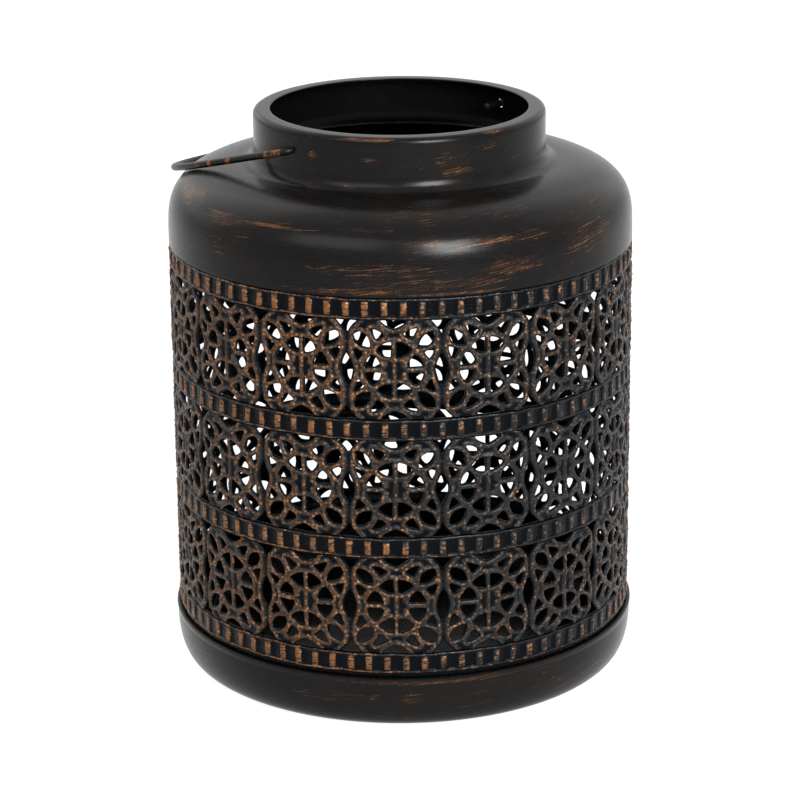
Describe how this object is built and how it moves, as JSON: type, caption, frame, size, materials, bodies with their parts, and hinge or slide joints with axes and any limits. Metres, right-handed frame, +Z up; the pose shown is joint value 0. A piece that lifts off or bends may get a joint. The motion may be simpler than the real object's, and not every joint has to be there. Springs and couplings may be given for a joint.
{
  "type": "lantern",
  "caption": "Round sheet-metal lantern: domed cap with an open neck, pierced filigree drum between ladder bands, round-cornered pan and a swinging wire bail.",
  "frame": {"origin": "centre of the flat underside of the pan, where the lantern stands", "axes": "+Z up along the drum's axis, +X along the bail's hinge line, +Y to the side that the folded bail lies on"},
  "size_m": [0.1652, 0.176, 0.2],
  "materials": {
    "antiqued_black": "satin black paint with brushed copper highlights",
    "copper_brushed_black": "satin black paint, copper dry-brushed over the raised pattern",
    "wire_black": "satin black paint, rubbed to copper near the hinge"
  },
  "bodies": {
    "lantern_body": {"top_cap": "antiqued_black", "filigree_drum": "copper_brushed_black", "base_pan": "antiqued_black"},
    "bail": {"bail_handle": "wire_black"}
  },
  "joints": [
    {"name": "bail_swing", "type": "hinge", "parent": "lantern_body", "child": "bail", "pos_m": [0, 0, 0.1927], "axis": [1, 0, 0], "range_deg": [0, 210]}
  ]
}
